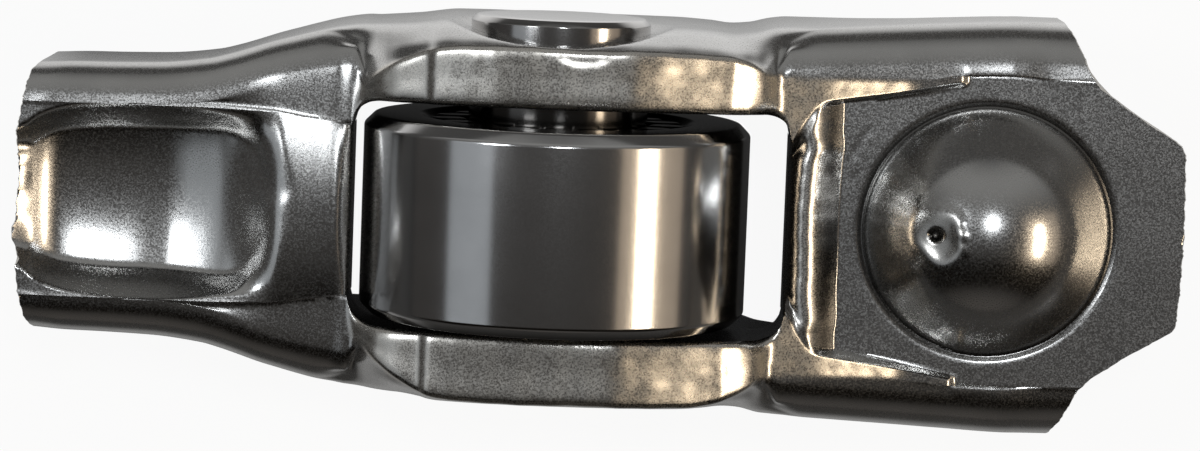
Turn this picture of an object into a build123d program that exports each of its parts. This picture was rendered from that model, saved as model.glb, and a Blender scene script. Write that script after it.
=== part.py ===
from build123d import *
import math
import os

# Stamped roller finger follower: one pressed sheet-steel arm, a pin, loose needles and a roller ring.
# The origin is on the roller's axis in the arm's middle plane. +X runs to the pivot, +Z to the cam.
# The arm lies on the flat lower edges of its two side walls, which reach just below the roller.

# Sheet, and plan shape of the arm: half widths are measured to the outside of the walls
SHEET = 3.1
VALVE_END_X = -25.0
VALVE_CORNER_X = -24.0
VALVE_NECK_X = -18.2
VALVE_HALF_WIDTH = 6.35
FLARE_MID_X = -13.9
FLARE_MID_HALF_WIDTH = 7.3
WAIST_START_X = -5.0
WAIST_END_X = 7.5
WAIST_HALF_WIDTH = 8.8
SHOULDER_X = 11.8
SHOULDER_SWELL = 0.3
FLANGE_END_X = 23.5
PIVOT_HALF_WIDTH = 9.7
NOTCH_X = 25.1
NOTCH_HALF_WIDTH = 6.8
TAB_CORNER_X = 28.95
TAB_END_X = 29.25
TAB_HALF_WIDTH = 4.35
TAB_CORNER_R = 0.5

# Levels, measured up from the roller's axis
CREST_Z = 2.5
FLOOR_Z = 1.5
RIM_Z = 5.25
VALVE_WALL_Z = -5.8
FLANGE_LOWER_Z = -5.0
SHOULDER_R = 2.2

# Flat lower edges that the arm rests on, and the runs from them up to the shallow ends
REST_CLEARANCE = 0.5
BELLY_START_X = -6.0
BELLY_END_X = 8.0
BELLY_RUN = 9.0

# Roller window and the raised side walls beside it
WINDOW_START_X = -9.45
WINDOW_END_X = 10.8
WALL_GAP_HALF = 5.6
WINDOW_CORNER_R = 0.8
RIM_ROLLOVER = 0.7
RIM_FOOT_START_X = -9.1
RIM_TOE_START_X = -7.7
RIM_FLAT_START_X = -3.2
RIM_FLAT_END_X = 3.6
RIM_TOE_END_X = 9.7
RIM_FOOT_END_X = 10.8
RIM_TOE_DROP = 0.8
RIM_FOOT_SINK = 0.3

# Pressed pocket and its pad at the valve end
POCKET_START_X = -24.3
POCKET_END_X = -13.2
POCKET_HALF_WIDTH = 4.5
POCKET_CORNER_R = 1.3
POCKET_DEPTH = 2.9
POCKET_DRAFT = 18.0
POCKET_LIP_DROP = 1.6
POCKET_TILT = 0.1
PAD_LAND_START_X = -21.6
PAD_LAND_END_X = -17.6
PAD_THICKNESS = 2.9
PAD_CROWN = 0.5

# Coined floor round the dome
RECESS_TOP_X = 12.1
RECESS_START_X = 13.3
RECESS_START_HALF_WIDTH = 5.4
RECESS_END_X = 19.2
RECESS_END_HALF_WIDTH = 7.1
RECESS_SIDE_RUN = 0.5
SHOULDER_FALL_X = 12.7

# Pivot dome, its socket and the oil jet
DOME_X = 20.1
DOME_BASE_R = 5.8
DOME_HEIGHT = 4.5
DOME_CROWN_R = 4.9
SOCKET_R = 3.9
SOCKET_WALL = 2.1
SOCKET_ENTRY = 0.6
OIL_HOLE_R = 0.35
OIL_HOLE_OFFSET = 2.55

# Roller, needles and pin
ROLLER_R = 9.0
ROLLER_WIDTH = 9.3
ROLLER_Y = -0.2
ROLLER_EDGE = 0.5
AXLE_R = 4.175
AXLE_PROUD = 0.4
AXLE_CHAMFER = 0.3
NEEDLE_R = 0.9
NEEDLE_COUNT = 17
NEEDLE_LENGTH = 9.0
RUNNING_CLEARANCE = 0.03

# How far a cutting solid runs past what it cuts
CUT_MARGIN = 2.0

# Worked out from the sizes above
SHOULDER_HALF_WIDTH = WAIST_HALF_WIDTH + SHOULDER_SWELL
REST_Z = -ROLLER_R - REST_CLEARANCE
NEEDLE_PITCH_R = AXLE_R + RUNNING_CLEARANCE + NEEDLE_R
ROLLER_BORE_R = NEEDLE_PITCH_R + NEEDLE_R + RUNNING_CLEARANCE
PAD_UNDERSIDE_Z = CREST_Z - POCKET_DEPTH - PAD_THICKNESS
WEB_UNDERSIDE_Z = CREST_Z - SHEET
FLOOR_UNDERSIDE_Z = FLOOR_Z - SHEET
SOCKET_CENTRE_Z = FLOOR_Z + DOME_HEIGHT - SOCKET_WALL - SOCKET_R
DOME_CENTRE_Z = FLOOR_Z + DOME_HEIGHT - DOME_CROWN_R


def arm_outline():
    """Plan shape of the arm from valve end to flange ends."""
    valve_corner = (VALVE_CORNER_X, VALVE_HALF_WIDTH)
    neck = (VALVE_NECK_X, VALVE_HALF_WIDTH)
    flare = (FLARE_MID_X, FLARE_MID_HALF_WIDTH)
    waist_start = (WAIST_START_X, WAIST_HALF_WIDTH)
    waist_end = (WAIST_END_X, WAIST_HALF_WIDTH)
    shoulder = (SHOULDER_X, SHOULDER_HALF_WIDTH)
    flange_end = (FLANGE_END_X, PIVOT_HALF_WIDTH)
    notch = (NOTCH_X, NOTCH_HALF_WIDTH)
    upper = Curve() + [
        Line(valve_corner, neck),
        Spline(neck, flare, waist_start, tangents=[(1, 0), (1, 0)]),
        Line(waist_start, waist_end),
        Spline(waist_end, shoulder, flange_end, tangents=[(1, 0), (1, 0)]),
        Line(flange_end, notch),
    ]
    lower = mirror(upper, about=Plane.XZ)
    valve_end = ThreePointArc(
        (valve_corner[0], -valve_corner[1]), (VALVE_END_X, 0), valve_corner
    )
    pivot_end = Line((notch[0], -notch[1]), notch)
    return make_face(Curve() + [upper, lower, valve_end, pivot_end])


def side_slab(outline, half_width):
    """Solid with the given face as its side view (X, Z), spread evenly about the middle plane."""
    return extrude(Plane.XZ * outline, half_width, both=True)


def shoulder_fall():
    """Space above the shoulders, which drop from the bridge to the level of the pivot floor."""
    reach = TAB_END_X + CUT_MARGIN
    above = CREST_Z + CUT_MARGIN
    outline = Polyline(
        (SHOULDER_FALL_X, CREST_Z),
        (RECESS_END_X, FLOOR_Z),
        (reach, FLOOR_Z),
        (reach, above),
        (SHOULDER_FALL_X, above),
        close=True,
    )
    return side_slab(make_face(outline), PIVOT_HALF_WIDTH + CUT_MARGIN)


def arm_blank():
    """Outer skin of the arm up to the crest, with rounded shoulders along both sides."""
    block = Pos(0, 0, REST_Z) * extrude(arm_outline(), CREST_Z - REST_Z)
    block -= shoulder_fall()
    shoulder_edges = [
        edge
        for edge in block.edges()
        if edge.center().Z > FLOOR_UNDERSIDE_Z
        and abs(edge.center().Y) > VALVE_HALF_WIDTH - SHEET / 2
        and edge.center().X < FLANGE_END_X
        and edge.bounding_box().size.Z < SHEET
    ]
    return fillet(shoulder_edges, SHOULDER_R)


def belly_cut():
    """Space below the lower edges of the walls: shallow ends and a deep, flat middle."""
    under = REST_Z - CUT_MARGIN
    start_x = VALVE_END_X - CUT_MARGIN
    end_x = TAB_END_X + CUT_MARGIN
    valve_edge = Line((start_x, VALVE_WALL_Z), (BELLY_START_X - BELLY_RUN, VALVE_WALL_Z))
    valve_run = Spline(valve_edge @ 1, (BELLY_START_X, REST_Z), tangents=[(1, 0), (1, 0)])
    flat = Line(valve_run @ 1, (BELLY_END_X, REST_Z))
    flange_start = (BELLY_END_X + BELLY_RUN, FLANGE_LOWER_Z)
    pivot_run = Spline(flat @ 1, flange_start, tangents=[(1, 0), (1, 0)])
    pivot_edge = Line(pivot_run @ 1, (end_x, FLANGE_LOWER_Z))
    close_below = Polyline(pivot_edge @ 1, (end_x, under), (start_x, under), valve_edge @ 0)
    outline = Curve() + [valve_edge, valve_run, flat, pivot_run, pivot_edge, close_below]
    return side_slab(make_face(outline), PIVOT_HALF_WIDTH + CUT_MARGIN)


def channel_outline():
    """Plan shape of the hollow between the walls, a sheet's thickness inside them."""
    outside = [
        (VALVE_CORNER_X, VALVE_HALF_WIDTH),
        (VALVE_NECK_X, VALVE_HALF_WIDTH),
        (WAIST_START_X, WAIST_HALF_WIDTH),
        (WAIST_END_X, WAIST_HALF_WIDTH),
        (SHOULDER_X, SHOULDER_HALF_WIDTH),
        (FLANGE_END_X, PIVOT_HALF_WIDTH),
        (NOTCH_X, PIVOT_HALF_WIDTH),
    ]
    upper = [(x, half_width - SHEET) for x, half_width in outside]
    lower = [(x, -half_width) for x, half_width in reversed(upper)]
    return make_face(Polyline(*upper, *lower, close=True))


def channel_cut():
    """Hollow between the walls, open at both ends, under the pad, the web and the pivot floor."""
    length = -4 * REST_Z
    valve_mouth = Box(4 * CUT_MARGIN, 2 * (VALVE_HALF_WIDTH - SHEET), length)
    pivot_mouth = Box(4 * CUT_MARGIN, 2 * (PIVOT_HALF_WIDTH - SHEET), length)
    hollow = Pos(0, 0, REST_Z - CUT_MARGIN) * extrude(channel_outline(), -REST_Z + RIM_Z)
    hollow += Pos(VALVE_END_X, 0, 0) * valve_mouth
    hollow += Pos(NOTCH_X, 0, 0) * pivot_mouth
    under = REST_Z - CUT_MARGIN
    start_x = VALVE_END_X - 3 * CUT_MARGIN
    end_x = NOTCH_X + 3 * CUT_MARGIN
    roof = Polyline(
        (start_x, PAD_UNDERSIDE_Z + PAD_CROWN),
        (VALVE_END_X, PAD_UNDERSIDE_Z + PAD_CROWN),
        (PAD_LAND_START_X, PAD_UNDERSIDE_Z),
        (PAD_LAND_END_X, PAD_UNDERSIDE_Z),
        (POCKET_END_X - SHEET, PAD_UNDERSIDE_Z + PAD_CROWN),
        (WINDOW_START_X - SHEET / 3, WEB_UNDERSIDE_Z),
        (WINDOW_END_X + SHEET / 3, WEB_UNDERSIDE_Z),
        (RECESS_START_X, FLOOR_UNDERSIDE_Z),
        (end_x, FLOOR_UNDERSIDE_Z),
        (end_x, under),
        (start_x, under),
        close=True,
    )
    return hollow & side_slab(make_face(roof), PIVOT_HALF_WIDTH)


def raised_walls():
    """The two upright strips beside the window, with sheared tops and rolled-over outer edges."""
    toe_z = RIM_Z - RIM_TOE_DROP
    foot_z = CREST_Z - RIM_FOOT_SINK
    contour = Polyline(
        (RIM_FOOT_START_X, -CUT_MARGIN),
        (RIM_FOOT_START_X, foot_z),
        (RIM_TOE_START_X, toe_z),
        (RIM_FLAT_START_X, RIM_Z),
        (RIM_FLAT_END_X, RIM_Z),
        (RIM_TOE_END_X, toe_z),
        (RIM_FOOT_END_X, foot_z),
        (RIM_FOOT_END_X, -CUT_MARGIN),
        close=True,
    )
    walls = extrude(arm_outline(), RIM_Z) & side_slab(make_face(contour), PIVOT_HALF_WIDTH)
    walls -= Box(4 * RIM_FOOT_END_X, 2 * WALL_GAP_HALF, 4 * RIM_Z)
    outer_edges = [
        edge
        for edge in walls.edges()
        if edge.center().Z > toe_z and abs(edge.center().Y) > WALL_GAP_HALF + SHEET / 2
    ]
    return chamfer(outer_edges, RIM_ROLLOVER)


def window_cut():
    """Opening for the roller, right through the sheet, with rounded corners."""
    length = WINDOW_END_X - WINDOW_START_X
    middle = (WINDOW_START_X + WINDOW_END_X) / 2
    opening = RectangleRounded(length, 2 * WALL_GAP_HALF, WINDOW_CORNER_R)
    return Pos(middle, 0, REST_Z) * extrude(opening, 2 * RIM_Z - REST_Z)


def pocket_cut():
    """Hollow pressed into the valve end; its floor is dished along the arm and rises to a low lip."""
    length = POCKET_END_X - POCKET_START_X
    middle = (POCKET_END_X + POCKET_START_X) / 2
    mouth = RectangleRounded(length, 2 * POCKET_HALF_WIDTH, POCKET_CORNER_R)
    sunk = Pos(middle, 0, CREST_Z) * extrude(mouth, -POCKET_DEPTH - CUT_MARGIN / 2, taper=POCKET_DRAFT)
    floor_z = CREST_Z - POCKET_DEPTH
    start_x = POCKET_START_X - POCKET_CORNER_R
    above = CREST_Z + CUT_MARGIN
    dish = Spline(
        (start_x, CREST_Z - POCKET_LIP_DROP),
        (PAD_LAND_START_X, floor_z),
        (PAD_LAND_END_X, floor_z + POCKET_TILT),
        (POCKET_END_X, CREST_Z),
    )
    lid = Polyline(dish @ 1, (POCKET_END_X, above), (start_x, above), dish @ 0)
    return sunk & side_slab(make_face(Curve() + [dish, lid]), POCKET_HALF_WIDTH)


def recess_cut():
    """Coined floor beside the bridge: a shallow trapezium that fades out towards the flanges."""
    def trapezium(start_x, grow):
        start = RECESS_START_HALF_WIDTH + grow
        end = RECESS_END_HALF_WIDTH + grow
        corners = [(start_x, -start), (RECESS_END_X, -end), (RECESS_END_X, end), (start_x, start)]
        return make_face(Polyline(*corners, close=True))

    lower = Pos(0, 0, FLOOR_Z) * trapezium(RECESS_START_X, 0)
    upper = Pos(0, 0, CREST_Z) * trapezium(RECESS_TOP_X, RECESS_SIDE_RUN)
    return loft([lower, upper])


def skirt_slope():
    """Slope of the cone that touches the dome's crown and ends at the dome's foot circle."""
    centre_drop = DOME_CROWN_R - DOME_HEIGHT
    foot_distance = math.hypot(DOME_BASE_R, centre_drop)
    return math.asin(DOME_CROWN_R / foot_distance) - math.atan2(centre_drop, DOME_BASE_R)


def dome():
    """Pressed pivot dome: a spherical crown on a conical skirt."""
    slope = skirt_slope()
    half = slope / 2
    centre = DOME_HEIGHT - DOME_CROWN_R
    apex = (0, DOME_HEIGHT)
    crown = (DOME_CROWN_R * math.sin(half), centre + DOME_CROWN_R * math.cos(half))
    touch = (DOME_CROWN_R * math.sin(slope), centre + DOME_CROWN_R * math.cos(slope))
    foot = (DOME_BASE_R, 0)
    below = -SHEET / 2
    profile = Curve() + [
        ThreePointArc(apex, crown, touch),
        Polyline(touch, foot, (DOME_BASE_R, below), (0, below), apex),
    ]
    return Pos(DOME_X, 0, FLOOR_Z) * revolve(Plane.XZ * make_face(profile), Axis.Z)



def end_tab():
    """Flat tab beyond the dome, narrowing to a slightly bowed end."""
    root = (FLANGE_END_X - SHEET, NOTCH_HALF_WIDTH)
    notch = (NOTCH_X, NOTCH_HALF_WIDTH)
    corner = (TAB_CORNER_X, TAB_HALF_WIDTH)
    upper = Polyline(root, notch, corner)
    lower = mirror(upper, about=Plane.XZ)
    end = ThreePointArc((corner[0], -corner[1]), (TAB_END_X, 0), corner)
    start = Line((root[0], -root[1]), root)
    plan = make_face(Curve() + [upper, lower, end, start])
    tab = Pos(0, 0, FLOOR_UNDERSIDE_Z) * extrude(plan, SHEET)
    corners = [
        edge
        for edge in tab.edges()
        if edge.center().X > TAB_CORNER_X - TAB_CORNER_R and edge.bounding_box().size.Z > SHEET / 2
    ]
    return fillet(corners, TAB_CORNER_R)


def socket_cut():
    """Ball seat under the dome: a hemisphere with a short straight mouth and a broken entry edge."""
    mouth_r = SOCKET_R + SOCKET_ENTRY
    below = FLOOR_UNDERSIDE_Z - CUT_MARGIN
    profile = Polyline(
        (0, SOCKET_CENTRE_Z),
        (SOCKET_R, SOCKET_CENTRE_Z),
        (SOCKET_R, FLOOR_UNDERSIDE_Z + SOCKET_ENTRY),
        (mouth_r, FLOOR_UNDERSIDE_Z),
        (mouth_r, below),
        (0, below),
        close=True,
    )
    mouth = Pos(DOME_X, 0, 0) * revolve(Plane.XZ * make_face(profile), Axis.Z)
    return mouth + Pos(DOME_X, 0, SOCKET_CENTRE_Z) * Sphere(SOCKET_R)


def oil_cut():
    """Oil jet hole through the dome, aimed at the roller."""
    lean = math.degrees(math.asin(OIL_HOLE_OFFSET / DOME_CROWN_R))
    aim = Pos(DOME_X, 0, DOME_CENTRE_Z) * Rot(0, -lean, 0)
    return aim * extrude(Circle(OIL_HOLE_R), DOME_CROWN_R + CUT_MARGIN)


def make_arm():
    """The whole pressed arm as one solid."""
    arm = arm_blank() + raised_walls()
    arm = arm - channel_cut() - belly_cut() - window_cut() - pocket_cut() - recess_cut()
    arm = arm + end_tab() + dome()
    arm = arm - socket_cut() - oil_cut()
    return arm - Rot(90, 0, 0) * Cylinder(AXLE_R, 4 * PIVOT_HALF_WIDTH)


def make_axle():
    """Hardened pin, flush at the -Y wall and standing proud of the +Y wall with a chamfered end."""
    length = 2 * WAIST_HALF_WIDTH + AXLE_PROUD
    pin = Pos(0, AXLE_PROUD / 2, 0) * Rot(90, 0, 0) * Cylinder(AXLE_R, length)
    proud_edge = pin.edges().filter_by(GeomType.CIRCLE).sort_by(Axis.Y)[-1]
    return chamfer(proud_edge, AXLE_CHAMFER)


def make_roller():
    """Ground ring with broken outer edges and a plain bore."""
    ring = Plane.XZ * (Circle(ROLLER_R) - Circle(ROLLER_BORE_R))
    body = Pos(0, ROLLER_Y, 0) * extrude(ring, ROLLER_WIDTH / 2, both=True)
    outer_edges = [edge for edge in body.edges() if edge.bounding_box().size.X > 2 * ROLLER_R - NEEDLE_R]
    return chamfer(outer_edges, ROLLER_EDGE)


def make_needle(index):
    """One loose needle roller of the full complement between pin and ring."""
    angle = 2 * math.pi * index / NEEDLE_COUNT
    x = NEEDLE_PITCH_R * math.sin(angle)
    z = NEEDLE_PITCH_R * math.cos(angle)
    return Pos(x, ROLLER_Y, z) * Rot(90, 0, 0) * Cylinder(NEEDLE_R, NEEDLE_LENGTH)


os.makedirs("parts", exist_ok=True)
export_step(make_arm(), "parts/arm_body.step")
export_step(make_axle(), "parts/axle_pin.step")
export_step(make_roller(), "parts/roller.step")
for number in range(NEEDLE_COUNT):
    export_step(make_needle(number), f"parts/needle_{number + 1:02d}.step")
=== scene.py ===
import bpy
import bmesh
import math
import numpy as np
from mathutils import Matrix, Vector


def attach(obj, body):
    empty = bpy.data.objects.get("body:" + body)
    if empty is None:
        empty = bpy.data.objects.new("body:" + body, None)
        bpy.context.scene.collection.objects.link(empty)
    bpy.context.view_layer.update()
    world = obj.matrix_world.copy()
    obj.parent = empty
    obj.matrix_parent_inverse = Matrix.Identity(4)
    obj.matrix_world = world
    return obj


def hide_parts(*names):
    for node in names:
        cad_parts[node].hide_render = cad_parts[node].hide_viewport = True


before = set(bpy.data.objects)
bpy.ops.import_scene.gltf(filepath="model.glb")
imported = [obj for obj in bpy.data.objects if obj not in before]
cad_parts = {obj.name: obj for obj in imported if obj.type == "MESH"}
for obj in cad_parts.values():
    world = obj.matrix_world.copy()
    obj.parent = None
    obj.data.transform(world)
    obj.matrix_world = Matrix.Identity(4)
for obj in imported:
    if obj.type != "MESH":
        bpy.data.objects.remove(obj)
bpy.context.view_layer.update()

# ---------------------------------------------------------------------------
# Pressed arm: one blank of case-hardened sheet steel, folded to a channel, with a pocket pressed
# into the valve end, two raised walls beside the roller window and a domed ball seat.
# Tumbled smooth all over; only the sheared edges keep a rough, brighter grain.

MM = 0.001
SHEET = 3.1
FLOOR_Z = 1.5
REST_Z = -9.5
SKIN_START = -25.3
SKIN_END = 29.3
WINDOW_START = -9.45
WINDOW_END = 10.8


def ease(start, end, x):
    """Smooth step from 0 at start to 1 at end."""
    t = np.clip((x - start) / (end - start), 0.0, 1.0)
    return t * t * (3.0 - 2.0 * t)


def bump(centre, width, x):
    """Smooth bell of height 1 at centre, zero outside +-width."""
    t = np.clip(np.abs(x - centre) / width, 0.0, 1.0)
    return (1.0 - t * t) ** 2


def smooth_max(a, b, blend):
    """Greater of a and b, with the crease between them rounded over the given blend."""
    share = np.clip(0.5 + 0.5 * (a - b) / blend, 0.0, 1.0)
    return a * share + b * (1.0 - share) + blend * share * (1.0 - share)


def smooth_min(a, b, blend):
    """Lesser of a and b, rounded in the same way."""
    return -smooth_max(-a, -b, blend)


def curve_through(points):
    """Smooth curve y(x) without overshoot through the given points."""
    xs = np.array([p[0] for p in points], float)
    ys = np.array([p[1] for p in points], float)
    step = np.diff(xs)
    slope = np.diff(ys) / step
    tangent = np.zeros_like(ys)
    same_way = slope[:-1] * slope[1:] > 0
    total = np.where(same_way, slope[:-1] + slope[1:], 1.0)
    tangent[1:-1] = np.where(same_way, 2 * slope[:-1] * slope[1:] / total, 0.0)
    tangent[0], tangent[-1] = slope[0], slope[-1]

    def at(x):
        x = np.clip(x, xs[0], xs[-1])
        i = np.clip(np.searchsorted(xs, x, side="right") - 1, 0, len(step) - 1)
        t = (x - xs[i]) / step[i]
        t2, t3 = t * t, t * t * t
        return (
            (2 * t3 - 3 * t2 + 1) * ys[i]
            + (t3 - 2 * t2 + t) * step[i] * tangent[i]
            + (3 * t2 - 2 * t3) * ys[i + 1]
            + (t3 - t2) * step[i] * tangent[i + 1]
        )

    return at


def ripple(x, y, z, scale, seed):
    """Gentle unevenness of pressed sheet, between -1 and 1."""
    rng = np.random.RandomState(seed)
    total = np.zeros_like(x)
    for _ in range(6):
        d = rng.normal(size=3)
        d /= np.linalg.norm(d)
        phase = rng.uniform(0, 2 * math.pi)
        pitch = scale * rng.uniform(0.6, 1.6)
        total = total + np.sin(2 * math.pi * (d[0] * x + d[1] * y + d[2] * z) / pitch + phase)
    return total / 6.0


# Half width of the arm along its length, at the fullest part of the walls
half_width = curve_through(
    [
        (-25.3, 6.22), (-23.3, 6.3), (-21.0, 6.33), (-18.6, 6.4), (-16.3, 6.66), (-15.35, 6.9),
        (-14.4, 7.2), (-13.5, 7.5), (-12.5, 7.78), (-11.6, 8.02), (-10.6, 8.25), (-9.7, 8.38),
        (-6.9, 8.6), (-5.0, 8.84), (-3.0, 8.86), (5.3, 8.84), (7.1, 8.76), (8.1, 8.66),
        (9.0, 8.74), (10.0, 8.98), (11.8, 9.1), (14.2, 9.27), (16.5, 9.42), (18.4, 9.54),
        (21.2, 9.68), (23.6, 9.7), (29.3, 9.7),
    ]
)

# Line on the top skin that follows the pocket, the window, the coined step and the bend
inner_line = curve_through(
    [
        (-25.3, 4.5), (-16.2, 4.5), (-13.2, 4.4), (-11.2, 4.1), (-9.46, 3.95), (-9.4, 4.22),
        (-9.2, 4.62), (-8.9, 4.93), (-8.5, 5.12), (-8.0, 5.2), (9.5, 5.22), (10.0, 5.12),
        (10.4, 4.92), (10.65, 4.62), (10.78, 4.3), (10.81, 4.05), (11.1, 4.55), (11.5, 5.15),
        (11.9, 5.65), (12.3, 5.93), (12.8, 6.03), (15.0, 6.36), (17.0, 6.7), (19.0, 7.05), (21.0, 7.08),
        (25.1, 6.9), (29.3, 6.9),
    ]
)

# Level of the top skin along that line
top_level = curve_through(
    [
        (-25.3, 2.35), (-23.5, 2.5), (-10.4, 2.5), (-9.5, 2.56), (-9.05, 2.76), (-8.7, 3.15),
        (-8.3, 3.65), (-7.9, 4.0), (-7.2, 4.34), (-6.1, 4.56), (-5.95, 4.6), (-5.6, 4.87), (-5.4, 4.93),
        (-3.0, 5.22),
        (-0.5, 5.38), (1.5, 5.36), (3.0, 5.26), (4.5, 5.08), (6.0, 4.86), (7.5, 4.6), (8.0, 4.53),
        (8.2, 4.46), (9.2, 4.03), (9.4, 3.9), (10.25, 3.04), (10.45, 2.96), (10.9, 2.9),
        (12.0, 2.76), (14.4, 2.4), (16.5, 2.1), (18.45, 1.84), (18.62, 1.8), (18.95, 1.51),
        (19.3, 1.5), (29.3, 1.5),
    ]
)

# Level of the shoulders outside the bend, which runs on smoothly past the coined step
shoulder_level = curve_through(
    [
        (-25.3, 2.35), (-23.5, 2.5), (-14.5, 2.48), (-12.5, 2.38), (-10.2, 2.36), (-9.4, 2.5),
        (10.0, 3.0), (10.9, 2.88), (12.0, 2.74), (14.4, 2.38), (17.0, 2.02), (18.6, 1.83), (20.0, 1.73),
        (22.5, 1.62), (25.0, 1.5), (29.3, 1.4),
    ]
)

# Outer border of the flat on the rim, which draws in at both of its feet
rim_border = curve_through(
    [
        (-9.6, 5.5), (-9.0, 5.95), (-8.4, 6.42), (-7.6, 6.92), (-6.8, 7.3), (-6.0, 7.6), (-5.0, 7.84),
        (-3.0, 7.92), (5.3, 7.9), (7.5, 7.8), (8.6, 7.62), (9.4, 7.25), (10.2, 6.85), (11.0, 6.7),
    ]
)

# Level of the lower edges of the walls
lower_edge = curve_through(
    [
        (-25.3, -5.8), (-15.5, -5.8), (-13.0, -6.5), (-8.5, -9.0), (-6.0, REST_Z),
        (8.0, REST_Z), (10.5, -8.95), (14.5, -5.8), (17.0, -5.0), (29.3, -5.0),
    ]
)

# Level of the underside between the walls
roof = curve_through(
    [
        (-25.3, -2.6), (-21.6, -3.3), (-17.6, -3.3), (-13.2, -2.4), (-10.6, -0.8),
        (-9.4, -0.6), (10.7, -0.6), (13.3, -1.6), (29.3, -1.6),
    ]
)

# Radius of the bend from the top skin down into the walls
wall_roll = curve_through([(-25.3, 1.9), (-14.0, 1.95), (-9.4, 2.2), (10.8, 2.2), (14.0, 2.3), (29.3, 2.5)])

# How far the sheet reaches at the pivot end, by distance from the middle
pivot_reach = curve_through(
    [
        (0.0, 29.22), (3.9, 29.08), (4.25, 28.95), (4.6, 28.5), (5.4, 27.15), (6.2, 25.95),
        (6.55, 25.45), (6.85, 25.05), (7.4, 24.6), (8.6, 24.05), (9.75, 23.45),
    ]
)


def end_reach(y, side):
    """How far the sheet reaches at distance y from the middle, at the valve or the pivot end."""
    if side < 0:
        return -(24.98 - 0.62 * (np.abs(y) / 5.9) ** 2.2 - 0.25 * ease(5.7, 6.4, np.abs(y)))
    return pivot_reach(np.abs(y))


def torn_edge(y, side):
    """Unevenness of the sheared edge itself: chips and the bulge where the strip was torn off."""
    if side < 0:
        big = 0.24 * bump(-1.85, 0.8, y) + 0.10 * bump(2.7, 0.9, y) - 0.10 * bump(0.8, 1.2, y)
        return big - 0.12 * bump(-2.9, 0.35, y) + 0.025 * np.sin(11.0 * y) + 0.018 * np.sin(27.0 * y + 1.0)
    return 0.022 * np.sin(7.0 * y + 0.5) + 0.016 * np.sin(21.0 * y) - 0.05 * bump(-3.4, 0.4, y)


def stretch_ends(x, y):
    """Moves the skin lengthwise so that it ends on the sheared outline."""
    left, right = -20.0, 21.0
    toward_left = np.clip((left - x) / (left - SKIN_START), 0.0, 1.0)
    toward_right = np.clip((x - right) / (SKIN_END - right), 0.0, 1.0)
    x = np.where(x < left, left + toward_left * (end_reach(y, -1) - left), x)
    x = np.where(x > right, right + toward_right * (end_reach(y, 1) - right), x)
    x = x - torn_edge(y, -1) * ease(0.86, 1.0, toward_left)
    return x + torn_edge(y, 1) * ease(0.93, 1.0, toward_right)


# Half width of the pocket, which runs out where its end wall meets the crest
pocket_half = curve_through(
    [
        (-25.4, 3.1), (-24.9, 3.35), (-24.5, 3.66), (-24.0, 3.92), (-23.4, 4.12), (-22.0, 4.34),
        (-20.0, 4.47), (-18.5, 4.48), (-17.2, 4.42), (-16.0, 4.3), (-15.0, 4.12), (-14.2, 3.86),
        (-13.7, 3.5), (-13.3, 2.9), (-13.0, 2.1), (-12.6, 0.8), (-9.0, -6.0),
    ]
)

# Level of the pocket's floor along the middle
pocket_floor = curve_through(
    [
        (-25.4, 1.14), (-25.1, 0.98), (-24.9, 0.86), (-24.5, 0.58), (-24.2, 0.36), (-23.9, 0.18),
        (-23.4, -0.02), (-22.2, -0.22), (-20.6, -0.36), (-19.2, -0.42), (-18.2, -0.36), (-17.4, -0.2),
        (-16.6, 0.05), (-15.8, 0.36), (-15.0, 0.82), (-14.3, 1.38), (-13.7, 1.95), (-13.2, 2.5),
        (-12.6, 3.1), (-11.5, 4.0), (-9.0, 5.5),
    ]
)


def pocket_level(x, y, crest):
    """Pressed pocket: steep sides, a floor dished both ways, and a low lip at the end."""
    dish = 0.037 * y * y * ease(-13.4, -15.5, x)
    turn = (pocket_half(x + 0.05) - pocket_half(x - 0.05)) / 0.1
    steep = 2.6 - 1.2 * ease(-15.6, -13.4, x)
    side = crest - steep * (pocket_half(x) - np.abs(y)) / np.sqrt(1 + turn * turn)
    hollow = smooth_max(pocket_floor(x) + dish, side, 1.0)
    crest = crest + 0.05 * bump(4.75, 0.5, np.abs(y)) * ease(-13.5, -15.0, x)
    crown = ease(-13.9, -12.7, x) * (1.0 - 0.8 * ease(-10.1, -9.5, x))
    web = 0.42 * crown * (1.0 - (y / inner_line(x)) ** 2)
    edge = 0.12 + 0.38 * ease(0.0, 1.0, y) + 0.6 * ease(-15.8, -13.8, x)
    return smooth_min(crest + web, hollow, edge)


def broken_edge(gap, radius):
    """Drop of a rounded edge at distance gap from the edge."""
    t = np.clip(1.0 - gap / radius, 0.0, 1.0)
    return radius * (1.0 - np.sqrt(1.0 - t * t))


# Level along the middle from the window's edge over the bridge's crest down to the coined floor
bridge_fall = curve_through(
    [
        (10.0, 1.6), (10.75, 1.95), (10.9, 2.26), (11.05, 2.5), (11.2, 2.68), (11.35, 2.8),
        (11.48, 2.86), (11.6, 2.885), (11.72, 2.875), (11.86, 2.83), (12.0, 2.755), (12.14, 2.655),
        (12.26, 2.55), (13.12, 1.6), (13.18, 1.53), (13.27, 1.5), (14.0, 1.5), (30.0, 1.5),
    ]
)


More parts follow.
